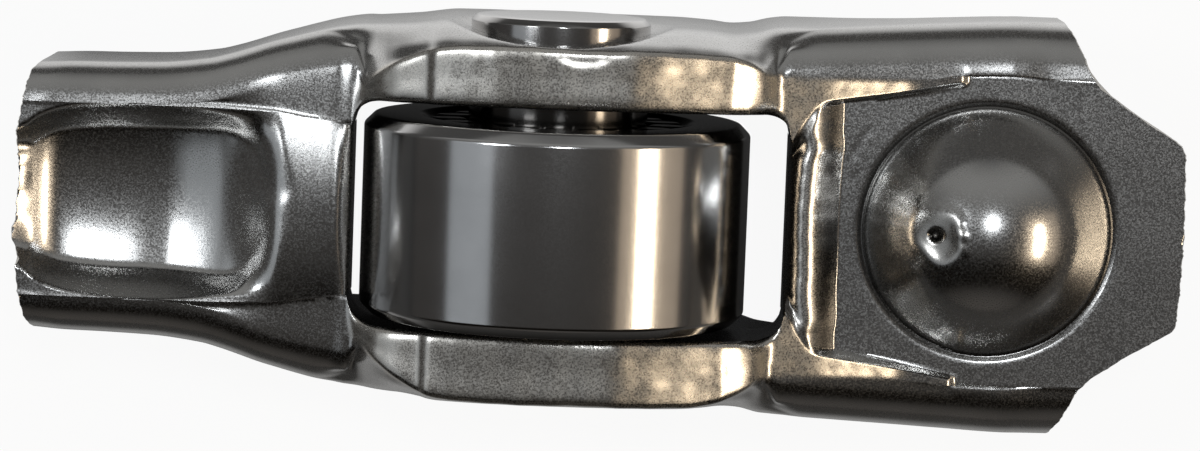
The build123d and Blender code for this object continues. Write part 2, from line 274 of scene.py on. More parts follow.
def bridge_level(x, y, crest):
    """Bridge behind the window, falling to the coined floor that lies round the dome."""
    shift = 0.18 * bump(3.7, 0.9, y) - 0.08 * bump(0.5, 2.5, y) + 0.14 * bump(-4.1, 0.8, y) + 0.03
    shift = shift + 0.02 * np.sin(5.3 * y + 0.4) + 0.012 * np.sin(13.0 * y)
    floor = bridge_fall(x - shift * ease(14.0, 12.4, x))
    gap = np.abs(y) - inner_line(x)
    run_out = -0.34 - 0.9 * ease(12.6, 11.2, x)
    side = np.where(x > 12.6, ease(-0.34, -0.04, gap), ease(run_out, -0.04, gap))
    level = floor + (crest - floor) * side
    from_arc = np.hypot(x - 15.9, np.abs(y - 2.9)) - 2.15
    arc = 0.035 * bump(0.0, 0.09, from_arc) * (x < 14.6) * (y > 1.6)
    tool = 0.004 * np.sin(9.0 * (x + 1.4 * y)) * bump(15.0, 2.0, x) * bump(4.6, 1.6, y)
    return level - arc + tool


def top_height(x, y):
    """Level of the top skin between the two inner lines."""
    crest = top_level(x)
    valve = pocket_level(x, y, crest) - broken_edge(WINDOW_START - x, 0.26)
    pivot = bridge_level(x, y, crest) - broken_edge(x - WINDOW_END, 0.34)
    return np.where(x < 0, valve, pivot)


def smooth_rows(control, counts):
    """Samples a smooth line through each column of control points (rows: points, last axis: y, z)."""
    k = len(control)
    padded = np.concatenate([2 * control[:1] - control[1:2], control, 2 * control[-1:] - control[-2:-1]])
    rows = []
    for i in range(k - 1):
        p0, p1, p2, p3 = padded[i], padded[i + 1], padded[i + 2], padded[i + 3]
        for j in range(counts[i]):
            t = j / counts[i]
            rows.append(
                0.5
                * (
                    2 * p1
                    + (p2 - p0) * t
                    + (2 * p0 - 5 * p1 + 4 * p2 - p3) * t * t
                    + (3 * p1 - p0 - 3 * p2 + p3) * t * t * t
                )
            )
    rows.append(control[-1])
    return np.array(rows)


def outer_rows(x, side):
    """Outer skin from the inner line over the shoulder or rim and down the wall to its lower edge."""
    w = half_width(x)
    y0 = inner_line(x)
    z0 = top_level(x)
    r = wall_roll(x)
    flat = np.maximum(w - r, y0)
    start = np.arccos(np.clip((flat - (w - r)) / r, 0.0, 1.0))
    low = lower_edge(x)
    drop = r * (1.0 - np.sin(start))
    zs = shoulder_level(x)
    lie = 0.055 * (1 - ease(-10.6, -9.6, x))
    shoulder = [(y0, z0), (y0 + 0.08, z0 - 0.25 * lie), (y0 + 0.28, z0 - lie)]
    for part in (0.0, 0.2, 0.4, 0.6, 0.8):
        angle = start * (1.0 - part)
        shoulder.append((w - r + r * np.cos(angle) + 0.05 * (part == 0), zs + drop - r * (1 - np.sin(angle))))
    shoulder.append((w, zs + drop - r))
    worn = 0.05 * ripple(x, 0 * x, 0 * x, 1.6, 5)
    flat_end = rim_border(x) + (0.3 * ease(-8.5, -5.5, x) * ease(9.0, 6.5, x) if side < 0 else 0.0)
    aside = w - flat_end
    rolled = ease(8.6, 9.6, x)
    rim = [
        (y0, z0 - 0.36 - 0.3 * rolled), (y0 + 0.12 + 0.08 * rolled, z0 - 0.1 - 0.14 * rolled),
        (y0 + 0.42 + 0.14 * rolled, z0 - 0.02 * rolled), (0.5 * (y0 + flat_end) + 0.1, z0 + 0.01),
        (flat_end - 0.28, z0 + 0.03), (flat_end - 0.02 + worn, z0 - 0.02),
        (flat_end + 0.14 + worn, z0 - 0.2), (flat_end + 0.5 * aside, z0 - 1.1 + 0.3 * (aside - 0.94)),
        (w, z0 - 3.5 + 0.85 * (aside - 0.94)),
    ]
    is_rim = ease(-9.45, -8.7, x) * (1.0 - ease(9.7, 10.7, x))
    points = []
    is_side = ease(-11.2, -7.0, x) * (1.0 - ease(8.6, 12.0, x))
    for k, ((y_s, z_s), (y_r, z_r)) in enumerate(zip(shoulder, rim)):
        share = is_rim if k < 6 else (0.5 * (is_rim + is_side) if k == 6 else is_side)
        points.append((y_s + (y_r - y_s) * share, z_s + (z_r - z_s) * share))
    belly = 0.06 * is_rim
    z7 = points[-1][1]
    points.append((w - belly, z7 + (low - z7) * 0.33))
    points.append((w - belly, z7 + (low - z7) * 0.66))
    points.append((w - belly, low + 0.45))
    points.append((w - belly - 0.12, low + 0.1))
    points.append((w - belly - 0.42, low))
    control = np.array([np.stack([p[0] + 0 * x, p[1] + 0 * x], axis=-1) for p in points])
    steps_between = [3, 3, 8, 7, 3, 4, 4, 4, 5, 5, 4, 3, 3]
    return smooth_rows(control, steps_between)


def channel_edge(x):
    """Half width of the flat underside, between the rounded corners of the channel."""
    return half_width(x) - SHEET - 2.0


def inner_rows(x):
    """Inner side of the wall from the lower edge up to the underside, or up to the rim in the window."""
    w = half_width(x) - SHEET
    low = lower_edge(x)
    top = roof(x)
    in_window = (x >= WINDOW_START) & (x <= WINDOW_END)
    y0 = inner_line(x)
    z0 = top_level(x)
    ends = in_window.astype(float)
    corner_y = w + (y0 - w) * ends
    is_rim = ease(-9.3, -8.2, x) * (1.0 - ease(9.7, 10.7, x))
    soft = 0.8 * (1.0 - ends) + 0.25 * ends
    points = [
        (w + 0.4, low),
        (w + 0.1, low + 0.12),
        (w, low + 0.45),
        (w, low + (top - low) * 0.5),
        (w, top - soft),
        (corner_y - 0.2 * soft * (1 - ends), top - 0.2 * soft * (1 - ends)),
        (corner_y - soft * (1 - ends), top + (z0 - top) * 0.5 * ends),
        (y0 * ends + (w - 1.6) * (1 - ends), (z0 - 0.6) * ends + top * (1 - ends)),
        (y0 * ends + (w - 2.0) * (1 - ends), (z0 - 0.42 * is_rim) * ends + top * (1 - ends)),
    ]
    control = np.array([np.stack([p[0] + 0 * x, p[1] + 0 * x], axis=-1) for p in points])
    steps_between = [1, 2, 3, 3, 3, 4, 4, 1]
    return smooth_rows(control, steps_between)


class Skin:
    """Collects patches of points and faces, with the steel's marks at each point: how sheared it is,
    which way its torn grain leans and how much painted shade darkens it."""

    def __init__(self):
        self.points = []
        self.faces = []
        self.marks = {"sheared": [], "lean": [], "painted_shade": []}
        self.count = 0

    def patch(self, grid, sheared, flip=False, lean=0.0, painted_shade=0.0):
        """Adds a grid of points; faces run along both of its directions."""
        rows, cols = grid.shape[:2]
        self.points.append(grid.reshape(-1, 3))
        for name, value in (("sheared", sheared), ("lean", lean), ("painted_shade", painted_shade)):
            self.marks[name].append((np.zeros((rows, cols)) + value).reshape(-1))
        i, j = np.meshgrid(np.arange(rows - 1), np.arange(cols - 1), indexing="ij")
        a = self.count + (i * cols + j).reshape(-1)
        quad = np.stack([a, a + 1, a + cols + 1, a + cols], axis=-1)
        if flip:
            quad = quad[:, ::-1]
        self.faces.append(quad)
        self.count += rows * cols


def place(x, y, z):
    """Final place of a skin point: ends stretched to the sheared outline, slight press waviness."""
    gx = stretch_ends(x, y)
    wave = 0.012 * ripple(gx, y, z, 4.0, 11)
    return np.stack([gx, y, z + wave * (z > REST_Z + 1.0)], axis=-1)


def stations(stretches):
    """Places along X where the skin has points, from stretches of (start, end, step)."""
    xs = []
    for start, end, step in stretches:
        count = max(1, int(round((end - start) / step)))
        xs += list(np.linspace(start, end, count, endpoint=False))
    xs.append(stretches[-1][1])
    return np.array(xs)


def rim_wear(x, y, z, side):
    """Rim tops are sheared edges, as are the feet at their ends and the flats beside the bridge."""
    level = top_level(x)
    flat = ease(-0.45, -0.1, z - level)
    inside = 1 - ease(0.02, 0.2, y - rim_border(x) - 0.3 * (side < 0) * (np.abs(x) < 7.5))
    rim = ease(-9.6, -8.9, x) * (1 - ease(10.0, 10.4, x)) * flat * inside
    ridge = ease(9.9, 10.3, x) * (1 - ease(15.8, 17.0, x)) * flat * (1 - ease(6.75, 7.1, np.abs(y)))
    return np.maximum(rim * (0.75 + 0.25 * ripple(x, y, z, 1.4, 3)), 0.9 * ridge)


# Way the torn grain leans along each rim: toward the pivot where positive
lean_along = {
    1: curve_through(
        [
            (-9.6, 0.1), (-8.4, 0.12), (-7.4, -0.1), (-6.2, -0.22), (-5.6, -0.05), (-5.3, -0.2),
            (-2.9, -0.2), (-2.5, -0.04), (2.8, 0.0), (3.9, 0.2), (4.6, 0.27), (7.9, 0.24), (8.3, 0.16),
            (9.2, 0.14), (10.3, 0.04), (10.6, 0.1), (12.4, 0.14), (13.0, 0.22), (17.5, 0.22), (18.0, 0.0),
        ]
    ),
    -1: curve_through(
        [
            (-9.6, 0.12), (-8.0, 0.1), (-7.0, -0.12), (-6.2, -0.05), (2.4, -0.02), (3.4, 0.2), (4.2, 0.25),
            (7.9, 0.24), (8.3, 0.2), (9.3, 0.18), (10.3, 0.04), (10.6, 0.1), (12.4, 0.14), (13.0, 0.22),
            (17.5, 0.22), (18.0, 0.0),
        ]
    ),
}


def rim_lean(x, y, side, wear):
    """Way the torn grain of the sheared steel leans: the cut pulled it lengthwise, never evenly."""
    uneven = 0.07 * ripple(x, y, 0 * x, 1.1, 21) + 0.05 * ripple(x, y, 0 * x, 0.5, 22)
    return wear * (lean_along[side](x) + uneven)


def staking(x, y, z):
    """Marks on the +Y rim where the pin was staked: a pressed pad with a curved border."""
    border = 7.2 + 0.22 * ((x - 1.15) / 1.0) ** 2
    pad = ease(0.0, 0.2, y - border) * (1 - ease(0.8, 1.35, np.abs(x - 1.15))) * (z > 4.5)
    scuff = 0.03 * ripple(x, y, z, 0.9, 31) * bump(-2.6, 2.6, x) * ease(7.0, 7.3, y) * (z > 4.5)
    return z - 0.05 * pad + scuff


valve_x = stations(
    [(SKIN_START, -24.4, 0.08), (-24.4, -14.5, 0.19), (-14.5, -9.7, 0.145), (-9.7, WINDOW_START, 0.04)]
)
wall_x = stations([(WINDOW_START, -7.0, 0.12), (-7.0, 7.0, 0.15), (7.0, WINDOW_END, 0.1)])
pivot_x = stations(
    [
        (WINDOW_END, 12.1, 0.05), (12.1, 13.0, 0.13), (13.0, 13.5, 0.05), (13.5, 18.4, 0.17),
        (18.4, 19.2, 0.08), (19.2, 28.9, 0.19), (28.9, SKIN_END, 0.08),
    ]
)

# Shares of the way from the middle to the inner line, closer together toward the line
across = 1.0 - (1.0 - np.linspace(0.0, 1.0, 38)) ** 1.7

# Shares of the way from the middle to the channel's edge on the underside
under_across = np.linspace(0, 1, 8)

# How far the +Y wall is pressed in round the pin
PIN_SEAT_DEPTH = 0.4


def wall_patches(skin):
    """Both walls: outer skin with shoulders and rims, lower edges, and the inner sides, darkened with painted
    shade.
    """
    for xs in (valve_x, wall_x, pivot_x):
        for side in (1, -1):
            outer = outer_rows(xs, side)
            y, z = outer[..., 0], outer[..., 1]
            x = np.broadcast_to(xs, y.shape)
            pin_seat = PIN_SEAT_DEPTH * (side > 0) * (1 - ease(4.4, 5.4, np.hypot(x, z))) * ease(7.9, 8.3, y)
            level = staking(x, y, z) if side > 0 else z
            wear = rim_wear(x, y, z, side)
            grid = place(x, side * (y - pin_seat), level)
            skin.patch(grid, wear, flip=side > 0, lean=rim_lean(x, y, side, wear))
        inner = inner_rows(xs)
        y, z = inner[..., 0], inner[..., 1]
        x = np.broadcast_to(xs, y.shape)
        lower = np.array([outer[-1], inner[0]])
        lower_x = np.broadcast_to(xs, lower.shape[:2])
        for side in (1, -1):
            skin.patch(place(lower_x, side * lower[..., 0], lower[..., 1]), 0.5, flip=side > 0)
            # Painted shade on the inner sides, which face the dark gaps beside the roller
            skin.patch(place(x, side * y, z), 0.1, flip=side > 0, painted_shade=1.0)


def top_patches(skin):
    """Top skin between the inner lines, and the underside of the channel below it."""
    for xs in (valve_x, pivot_x):
        line = inner_line(xs)
        y = across[:, None] * line[None, :]
        x = np.broadcast_to(xs, y.shape)
        for side in (1, -1):
            z = top_height(x, side * y)
            ridge = ease(10.7, 10.8, x) * (1 - ease(13.0, 13.3, x))
            ridge = ridge + 1.6 * ease(-9.86, -9.66, x) * (x < 0)
            beside = ease(-0.3, 0.0, y - line) * (x > 10.7) * (1 - ease(15.8, 17.0, x))
            uneven = (0.3 + 0.3 * ripple(x, y, z, 1.3, 41)) * (ridge > 0.2)
            rise = top_height(x, side * (y + 0.04)) - top_height(x, side * (y - 0.04))
            # Painted shade on the steep +Y wall of the pocket, on the bridge's edge at the window and on its
            # slope down to the coined floor
            pocket_wall = 0.5 * ease(0.5, 1.4, np.abs(rise) / 0.08) * (x < 0) * (side > 0)
            bridge_edge = 0.85 * ease(10.7, 10.8, x) * (1 - ease(11.15, 11.3, x))
            bridge_slope = 0.8 * bump(12.75, 0.62, x) * (1 - beside)
            skin.patch(
                place(x, side * y, z),
                np.maximum(0.5 * ridge, 0.9 * beside),
                flip=side < 0,
                lean=np.where(x > 10.7, 0.26 * beside, uneven),
                painted_shade=pocket_wall + bridge_edge + bridge_slope,
            )
        y = under_across[:, None] * channel_edge(xs)[None, :]
        x = np.broadcast_to(xs, y.shape)
        z = np.broadcast_to(roof(xs), y.shape)
        for side in (1, -1):
            skin.patch(place(x, side * y, z), 0.0, flip=side > 0)


def window_patches(skin):
    """Sheared faces at both ends of the roller window."""
    for x_end, facing in ((WINDOW_START, 1), (WINDOW_END, -1)):
        end = np.array([x_end])
        y = across * float(inner_line(end)[0])
        x = np.full_like(y, x_end)
        underside = np.full_like(y, float(roof(end)[0]))
        for side in (1, -1):
            top = place(x, side * y, top_height(x, side * y))
            bottom = place(x, side * y, underside)
            rows = np.array([top + (bottom - top) * share for share in (0, 0.06, 0.3, 0.6, 1.0)])
            rows[1:, :, 0] += facing * 0.05
            # The cut face at the pivot end of the window is darkened with painted shade
            skin.patch(rows, 0.6, flip=(side * facing) < 0, painted_shade=0.85 * (facing < 0))


def evenly(line, count):
    """The line resampled with equal steps along its length."""
    run = np.concatenate([[0], np.cumsum(np.linalg.norm(np.diff(line, axis=0), axis=1))])
    at = np.linspace(0, run[-1], count)
    return np.stack([np.interp(at, run, line[:, i]) for i in (0, 1)], axis=-1)


def end_patches(skin):
    """Cut faces of the sheet at both ends of the arm, a little swollen where it tore."""
    swelling = ((0.0, 0.0), (0.04, 0.05), (0.15, 0.07), (0.5, 0.03), (0.85, 0.06), (0.96, 0.04), (1.0, 0.0))
    for xs, facing in ((valve_x[:1], -1), (pivot_x[-1:], 1)):
        y_top = across * float(inner_line(xs)[0])
        z_top = top_height(np.full_like(y_top, xs[0]), y_top)
        top_line = np.concatenate([np.stack([y_top[:-1], z_top[:-1]], axis=-1), outer_rows(xs, 1)[:, 0]])
        y_low = under_across[:-1] * float(channel_edge(xs)[0])
        z_low = 0 * y_low + roof(xs)[0]
        low_line = np.concatenate([np.stack([y_low, z_low], axis=-1), inner_rows(xs)[::-1][:, 0]])
        top_line, low_line = evenly(top_line, 140), evenly(low_line, 140)
        for side in (1, -1):
            rows = []
            for share, out in swelling:
                yz = top_line + (low_line - top_line) * share
                row = place(np.full(len(yz), xs[0]), side * yz[:, 0], yz[:, 1])
                row[:, 0] += facing * out * (1 + 0.3 * np.sin(31.0 * row[:, 1]))
                rows.append(row)
            skin.patch(np.array(rows), 0.8, flip=(side * facing) > 0)


DOME_X = 20.1
DOME_CROWN_R = 4.9
DOME_HEIGHT = 4.5
DOME_BASE_R = 5.8
DIMPLE_X = DOME_X - 2.55
DIMPLE_Y = 0.1
OIL_HOLE_X = DIMPLE_X - 0.08
OIL_HOLE_Y = DIMPLE_Y + 0.06


def dome_rows():
    """Section of the pressed dome, from its top out to the floor beyond the coined crease."""
    drop = DOME_CROWN_R - DOME_HEIGHT
    slope = math.asin(DOME_CROWN_R / math.hypot(DOME_BASE_R, drop)) - math.atan2(drop, DOME_BASE_R)
    rows = []
    for i in range(46):
        angle = slope * i / 45
        level = FLOOR_Z + DOME_HEIGHT - DOME_CROWN_R + DOME_CROWN_R * math.cos(angle)
        rows.append((DOME_CROWN_R * math.sin(angle), level))
    touch = rows[-1]
    foot = (DOME_BASE_R - 0.12, FLOOR_Z + 0.12)
    for i in range(1, 8):
        share = i / 8
        rows.append((touch[0] + (foot[0] - touch[0]) * share, touch[1] + (foot[1] - touch[1]) * share))
    rows += [
        (5.64, FLOOR_Z + 0.14), (5.70, FLOOR_Z + 0.02), (5.76, FLOOR_Z - 0.07), (5.84, FLOOR_Z - 0.11),
        (5.93, FLOOR_Z - 0.09), (6.02, FLOOR_Z - 0.03), (6.12, FLOOR_Z - 0.005), (6.28, FLOOR_Z),
        (6.42, FLOOR_Z),
    ]
    return np.array(rows)


def oil_funnel(x, y, z):
    """Punched dimple with a raised lip and the small oil hole, aimed at the roller."""
    dx, dy = x - DIMPLE_X, y - DIMPLE_Y
    around = np.arctan2(dy, dx)
    warp = 0.09 * np.sin(2 * around + 0.6) + 0.06 * np.sin(3 * around + 2.0) + 0.03 * np.sin(5 * around)
    distance = np.hypot(dx, dy) * (1 + warp)
    lip = 0.06 * bump(1.15, 0.5, distance) * (0.5 + 0.6 * np.sin(around + 4.2) ** 2)
    fold = 0.018 * np.sin(11.0 * around) * bump(1.25, 0.4, distance) * bump(0.0, 1.1, around)
    dish = 0.2 * (1 - ease(0.0, 1.15, distance)) + 0.05 * bump(0.6, 0.5, distance) * np.sin(around + 2.5)
    hole = 0.5 * (1 - ease(0.16, 0.36, np.hypot(x - OIL_HOLE_X, y - OIL_HOLE_Y)))
    return z + lip + fold - dish - hole


def dome_patch(skin):
    """The dome and its crease, turned round the dome's middle, with the oil funnel pressed in."""
    section = dome_rows()
    angle = np.linspace(0, 2 * math.pi, 217)
    r = section[:, 0][:, None]
    x = DOME_X + r * np.cos(angle)[None, :]
    y = r * np.sin(angle)[None, :]
    z = oil_funnel(x, y, np.broadcast_to(section[:, 1][:, None], x.shape))
    dimple = 1 - ease(0.9, 1.5, np.hypot(x - DIMPLE_X, y - DIMPLE_Y))
    hole_floor = 1 - ease(0.2, 0.42, np.hypot(x - OIL_HOLE_X, y - OIL_HOLE_Y))
    crease = bump(5.86, 0.32, r) + 0 * x
    # Painted shade in the dimple, in the oil hole and along the crease round the dome
    dome_painted_shade = 0.4 * hole_floor + 0.4 * dimple + 0.8 * crease
    skin.patch(np.stack([x, y, z], axis=-1), 0.5 * dimple, painted_shade=dome_painted_shade)


def make_mesh(name, skin, weld=0.004):
    """Turns the collected patches into one welded mesh in metres."""
    points = np.concatenate(skin.points)
    faces = np.concatenate(skin.faces)
    mesh = bpy.data.meshes.new(name)
    mesh.from_pydata((points * MM).tolist(), [], faces.tolist())
    for mark, values in skin.marks.items():
        layer = mesh.attributes.new(mark, "FLOAT", "POINT")
        layer.data.foreach_set("value", np.concatenate(values).astype(np.float32))
    bm = bmesh.new()
    bm.from_mesh(mesh)
    bmesh.ops.remove_doubles(bm, verts=bm.verts, dist=weld * MM)
    bm.to_mesh(mesh)
    bm.free()
    mesh.validate()
    for polygon in mesh.polygons:
        polygon.use_smooth = True
    mesh.set_sharp_from_angle(angle=math.radians(38))
    piece = bpy.data.objects.new(name, mesh)
    bpy.context.scene.collection.objects.link(piece)
    return piece


def open_for_dome(skin):
    """Drops the floor faces that the dome patch takes the place of."""
    points = np.concatenate(skin.points)
    for n, faces in enumerate(skin.faces):
        centre = points[faces].mean(axis=1)
        near = np.hypot(centre[:, 0] - DOME_X, centre[:, 1]) < 6.25
        skin.faces[n] = faces[~(near & (centre[:, 2] > 0.5))]


arm_skin = Skin()
wall_patches(arm_skin)
top_patches(arm_skin)
window_patches(arm_skin)
end_patches(arm_skin)
open_for_dome(arm_skin)
dome_patch(arm_skin)
arm = make_mesh("pressed_arm", arm_skin)

# Noise scales of the steel's patchy tone, its fine tumbled grain and its torn edges
PATCHY_SCALE = 420.0
GRAIN_SCALE = 12500.0
TORN_SCALE = 1500.0

# How much deeper and rougher the torn steel is, its colour, and the dark colour of the painted shade
TORN_DEPTH = 4.2
TORN_ROUGHNESS = 0.08
TORN_COLOUR = (0.62, 0.59, 0.54, 1.0)
PAINTED_SHADE_COLOUR = (0.05, 0.046, 0.042, 1.0)


def feed(tree, socket, value):
    """Gives a node's input the output of another node, or a plain value."""
    if isinstance(value, bpy.types.NodeSocket):
        tree.links.new(value, socket)
    else:
        socket.default_value = value


def calculated(tree, kind, *values):
    """One calculation; each value is another node's output or a plain number."""
    node = tree.nodes.new("ShaderNodeMath")
    node.operation = kind
    for socket, value in zip(node.inputs, values):
        feed(tree, socket, value)
    return node.outputs["Value"]


def graded(tree, value, start, end, low, high):
    """Runs straight from low to high while value goes from start to end, and is level beyond."""
    node = tree.nodes.new("ShaderNodeMapRange")
    for name, number in (("From Min", start), ("From Max", end), ("To Min", low), ("To Max", high)):
        node.inputs[name].default_value = number
    tree.links.new(value, node.inputs["Value"])
    return node.outputs["Result"]


def mixed(tree, share, first, second):
    """Colour between two; each is another node's output or a plain colour."""
    node = tree.nodes.new("ShaderNodeMix")
    node.data_type = "RGBA"
    for name, value in (("Factor", share), ("A", first), ("B", second)):
        feed(tree, node.inputs[name], value)
    return node.outputs["Result"]


def noise(tree, scale, detail):
    """Noise that is fixed to the piece."""
    node = tree.nodes.new("ShaderNodeTexNoise")
    node.inputs["Scale"].default_value = scale
    node.inputs["Detail"].default_value = detail
    tree.links.new(tree.nodes.new("ShaderNodeTexCoord").outputs["Object"], node.inputs["Vector"])
    return node.outputs["Fac"]


def mark(tree, name):
    """One of the skin's own marks."""
    node = tree.nodes.new("ShaderNodeAttribute")
    node.attribute_name = name
    return node.outputs["Fac"]


def steel(name, colour, roughness, spread, grain, sheared=False):
    """Bare steel: slightly uneven colour and polish, fine grain, rougher where it was sheared, and painted
    dark as shade where the skin carries the painted shade mark.
    """
    material = bpy.data.materials.new(name)
    material.use_nodes = True
    tree = material.node_tree
    shader = tree.nodes["Principled BSDF"]
    shader.inputs["Metallic"].default_value = 1.0
    darker = (*[part * 0.86 for part in colour], 1.0)
    lighter = (*[min(1.0, part * 1.14) for part in colour], 1.0)
    tone = mixed(tree, noise(tree, PATCHY_SCALE, 4.0), darker, lighter)
    fine = noise(tree, GRAIN_SCALE, 3.0)
    polish = graded(tree, fine, 0.36, 0.64, roughness - spread, roughness + spread)
    height = fine
    if sheared:
        wear = mark(tree, "sheared")
        torn = calculated(tree, "MULTIPLY", noise(tree, TORN_SCALE, 5.0), wear)
        height = calculated(tree, "MULTIPLY_ADD", torn, TORN_DEPTH, fine)
        tone = mixed(tree, wear, tone, TORN_COLOUR)
        polish = calculated(tree, "MULTIPLY_ADD", wear, TORN_ROUGHNESS, polish)
    # Painted shade: the colour goes dark where the painted shade mark is set, in gaps, creases and recesses
    tone = mixed(tree, mark(tree, "painted_shade"), tone, PAINTED_SHADE_COLOUR)
    relief = tree.nodes.new("ShaderNodeBump")
    relief.inputs["Strength"].default_value = 1.0
    relief.inputs["Distance"].default_value = grain * MM
    tree.links.new(height, relief.inputs["Height"])
    normal = relief.outputs["Normal"]
    if sheared:
        lengthwise = tree.nodes.new("ShaderNodeCombineXYZ")
        tree.links.new(mark(tree, "lean"), lengthwise.inputs["X"])
        leaning = tree.nodes.new("ShaderNodeVectorMath")
        leaning.operation = "ADD"
        tree.links.new(normal, leaning.inputs[0])
        tree.links.new(lengthwise.outputs["Vector"], leaning.inputs[1])
        unit = tree.nodes.new("ShaderNodeVectorMath")
        unit.operation = "NORMALIZE"
        tree.links.new(leaning.outputs["Vector"], unit.inputs[0])
        normal = unit.outputs["Vector"]
    tree.links.new(normal, shader.inputs["Normal"])
    tree.links.new(tone, shader.inputs["Base Color"])
    tree.links.new(polish, shader.inputs["Roughness"])
    return material


arm.data.materials.append(steel("tumbled_steel", (0.52, 0.515, 0.505), 0.23, 0.075, 0.0010, sheared=True))
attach(arm, "arm")
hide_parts("arm_body")

# ---------------------------------------------------------------------------
# Roller: a ring turned from bearing steel, hardened, then ground on its running face and bore.
# Its corners are broken, and it runs free on the needles in a film of oil.

ROLLER_R = 9.0
ROLLER_BORE_R = 6.04
ROLLER_END = 9.3 / 2
ROLLER_Y = -0.2
ROLLER_EDGE = 0.5
BORE_EDGE = 0.3


def lathe(name, section, centre_y, turns=192, painted_shade_at=None):
    """Turned piece about the roller's axis; section is (radius, y) from one end to the other."""
    skin = Skin()
    angle = np.linspace(0, 2 * math.pi, turns + 1)
    section = np.array(section)
    r = section[:, 0][:, None]
    y = np.broadcast_to(centre_y + section[:, 1][:, None], (len(section), turns + 1))
    grid = np.stack([r * np.sin(angle)[None, :], y, r * np.cos(angle)[None, :]], axis=-1)
    skin.patch(grid, 0.0, flip=True, painted_shade=0.0 if painted_shade_at is None else painted_shade_at(r, y))
    return make_mesh(name, skin, weld=0.0005)


def rounded(corners, radius, steps=4):
    """Section with each inner corner rounded to the given radius."""
    corners = [np.array(c, float) for c in corners]
    out = [corners[0]]
    for before, corner, after in zip(corners[:-2], corners[1:-1], corners[2:]):
        run_in, run_out = np.linalg.norm(before - corner), np.linalg.norm(after - corner)
        a = (before - corner) / run_in
        b = (after - corner) / run_out
        half = math.acos(np.clip(np.dot(a, b), -1, 1)) / 2
        back = min(radius / math.tan(half), 0.45 * run_in, 0.45 * run_out)
        start, end = corner + a * back, corner + b * back
        for i in range(steps + 1):
            t = i / steps
            out.append((1 - t) ** 2 * start + 2 * t * (1 - t) * corner + t**2 * end)
    out.append(corners[-1])
    return out


def roller_painted_shade(r, y):
    """Painted shade on the end faces and in the bore, and on the broken edge at the -Y side."""
    return np.where(r < 8.45, 0.9, 0.8 * (y < -4.5) * (r < 8.97))


roller_section = rounded(
    [
        (ROLLER_BORE_R, BORE_EDGE - ROLLER_END), (ROLLER_BORE_R + BORE_EDGE, -ROLLER_END),
        (ROLLER_R - ROLLER_EDGE, -ROLLER_END), (ROLLER_R, ROLLER_EDGE - ROLLER_END),
        (ROLLER_R, ROLLER_END - ROLLER_EDGE), (ROLLER_R - ROLLER_EDGE, ROLLER_END),
        (ROLLER_BORE_R + BORE_EDGE, ROLLER_END), (ROLLER_BORE_R, ROLLER_END - BORE_EDGE),
        (ROLLER_BORE_R, BORE_EDGE - ROLLER_END),
    ],
    radius=0.3,
    steps=6,
)
roller = lathe("roller_ring_ground", roller_section, ROLLER_Y, turns=256, painted_shade_at=roller_painted_shade)
roller.data.materials.append(steel("ground_steel", (0.56, 0.555, 0.55), 0.15, 0.015, 0.0002))
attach(roller, "roller_ring")
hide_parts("roller")

# ---------------------------------------------------------------------------
# Pin: a bearing-steel rod, hardened and ground, pressed through both walls and staked.
# Its chamfered end stands a little proud of the +Y wall.

PIN_R = 4.175
PIN_LOW_Y = -8.5
PIN_TOP_Y = 9.2


def pin_painted_shade(r, y):
    """Painted shade on the length between the walls, and lighter painted shade through the walls; the end
    faces are not darkened.
    """
    return np.where(np.abs(y) < 7.0, 0.9, 0.3 * (np.abs(y) < 9.0)) + 0 * r


pin_section = rounded(
    [
        (0.0, PIN_LOW_Y), (3.7, PIN_LOW_Y), (PIN_R, -8.2), (PIN_R, -7.2), (PIN_R, -6.9), (PIN_R, 6.9),
        (PIN_R, 7.2), (PIN_R, 8.92), (3.9, 9.17), (3.4, PIN_TOP_Y), (0.0, PIN_TOP_Y),
    ],
    radius=0.08,
)
pin = lathe("roller_pin", pin_section, 0.0, turns=160, painted_shade_at=pin_painted_shade)
pin.data.materials.append(steel("pin_steel_ground", (0.56, 0.55, 0.54), 0.15, 0.015, 0.0002))
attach(pin, "arm")
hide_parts("axle_pin")

# ---------------------------------------------------------------------------
# Needles: a full set of loose hardened rollers with rounded ends, between pin and ring.
# There is no cage: each needle is kept in line by its neighbours.

NEEDLE_COUNT = 17
NEEDLE_R = 0.9
NEEDLE_END = 4.5
NEEDLE_RING_R = 5.105

# The needles' steel is painted dark, as painted shade for the dark gap round the pin
needle_shaded_steel = steel("needle_steel_ground", (0.20, 0.19, 0.18), 0.14, 0.01, 0.0002)
needle_section = np.array(
    rounded([(0.0, -NEEDLE_END), (NEEDLE_R, -NEEDLE_END), (NEEDLE_R, NEEDLE_END), (0.0, NEEDLE_END)], 0.25)
)
needle_angle = np.linspace(0, 2 * math.pi, 29)
for number in range(NEEDLE_COUNT):
    turn = 2 * math.pi * number / NEEDLE_COUNT
    skin = Skin()
    r = needle_section[:, 0][:, None]
    x = NEEDLE_RING_R * math.sin(turn) + r * np.sin(needle_angle)[None, :]
    z = NEEDLE_RING_R * math.cos(turn) + r * np.cos(needle_angle)[None, :]
    y = np.broadcast_to(ROLLER_Y + needle_section[:, 1][:, None], x.shape)
    skin.patch(np.stack([x, y, z], axis=-1), 0.0, flip=True)
    needle = make_mesh(f"loose_needle_{number + 1:02d}", skin, weld=0.0005)
    needle.data.materials.append(needle_shaded_steel)
    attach(needle, "needle_set")
    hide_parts(f"needle_{number + 1:02d}")
